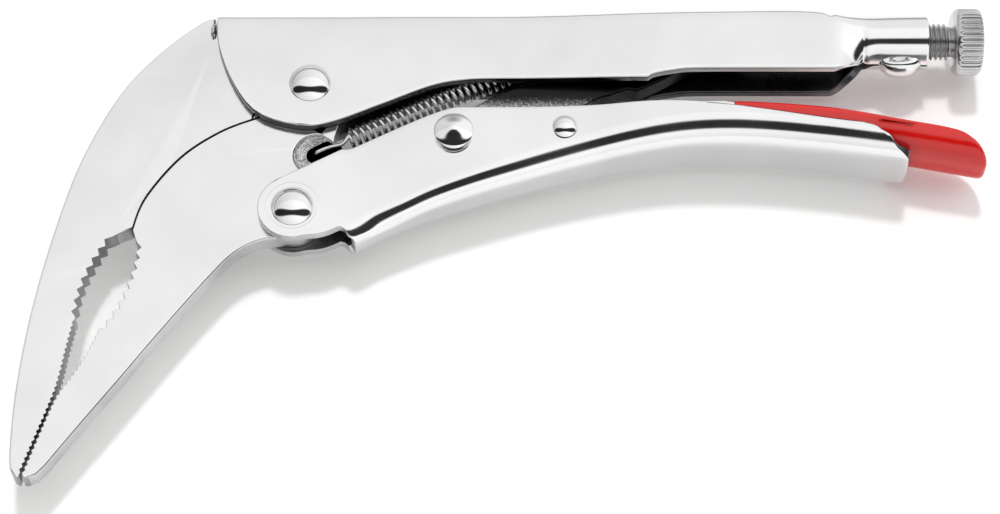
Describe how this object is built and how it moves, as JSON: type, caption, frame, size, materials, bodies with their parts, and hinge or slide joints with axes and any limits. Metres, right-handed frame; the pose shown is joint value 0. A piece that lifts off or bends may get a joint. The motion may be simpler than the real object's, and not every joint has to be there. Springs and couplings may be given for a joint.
{
  "type": "locking pliers",
  "caption": "Locking pliers with long jaws angled to one side, an over-centre toggle, a knurled adjusting screw and a release lever with a plastic coat.",
  "frame": {"origin": "bottom centre of the closed pliers' box, as they lie on one side", "axes": "+X from the jaws to the adjusting knob, +Y across the tool from the lower handle to the upper handle, +Z through its thickness"},
  "size_m": [0.199, 0.108, 0.018],
  "materials": {
    "polished_nickel": "polished nickel plate",
    "rivet_steel": "polished nickel plate on domed heads",
    "spring_steel": "dark oiled spring wire",
    "screw_steel": "satin zinc plate",
    "red_plastic": "smooth dipped plastic, slightly glossy"
  },
  "bodies": {
    "root": {"upper_handle": "polished_nickel", "fixed_jaw": "polished_nickel", "weld_bead_front": "polished_nickel", "weld_bead_back": "polished_nickel", "jaw_rivet": "rivet_steel", "tension_spring": "spring_steel"},
    "moving_jaw": {"moving_jaw": "polished_nickel"},
    "lower_handle": {"lower_handle": "polished_nickel", "handle_rivet": "rivet_steel", "link_rivet": "rivet_steel", "lever_rivet": "rivet_steel", "link_washer_front": "rivet_steel", "link_washer_back": "rivet_steel"},
    "toggle_link": {"toggle_link": "polished_nickel"},
    "release_lever": {"release_lever": "polished_nickel", "lever_grip": "red_plastic"},
    "adjusting_screw": {"adjusting_screw": "screw_steel"},
    "screw_knob": {"screw_knob": "screw_steel"}
  },
  "joints": [
    {"name": "jaw_open", "type": "hinge", "parent": "root", "child": "moving_jaw", "pos_m": [-0.04233, 0.03435, 0.009], "axis": [0, 0, 1], "range_deg": [0, 20], "deforming": ["tension_spring"]},
    {"name": "handle_swing", "type": "hinge", "parent": "moving_jaw", "child": "lower_handle", "pos_m": [-0.04514, 0.00515, 0.009], "axis": [0, 0, 1], "range_deg": [-51.5, 0]},
    {"name": "link_swing", "type": "hinge", "parent": "lower_handle", "child": "toggle_link", "pos_m": [-0.01213, 0.02145, 0.009], "axis": [0, 0, 1], "range_deg": [0, 53.9]},
    {"name": "lever_lift", "type": "hinge", "parent": "lower_handle", "child": "release_lever", "pos_m": [0.01086, 0.02245, 0.009], "axis": [0, 0, 1], "range_deg": [0, 8]},
    {"name": "screw_travel", "type": "slide", "parent": "root", "child": "adjusting_screw", "axis": [1, 0, 0], "range_m": [0, 0.012]},
    {"name": "knob_spin", "type": "hinge", "parent": "adjusting_screw", "child": "screw_knob", "pos_m": [0.09667, 0.04695, 0.009], "axis": [1, 0, 0], "range_deg": [0, 4081.9]}
  ],
  "couplings": [
    {"joint": "handle_swing", "follows": "jaw_open", "ratio": -2.567},
    {"joint": "link_swing", "follows": "jaw_open", "ratio": 2.688},
    {"joint": "screw_travel", "follows": "knob_spin", "m_per_rad": 0.00016844}
  ]
}
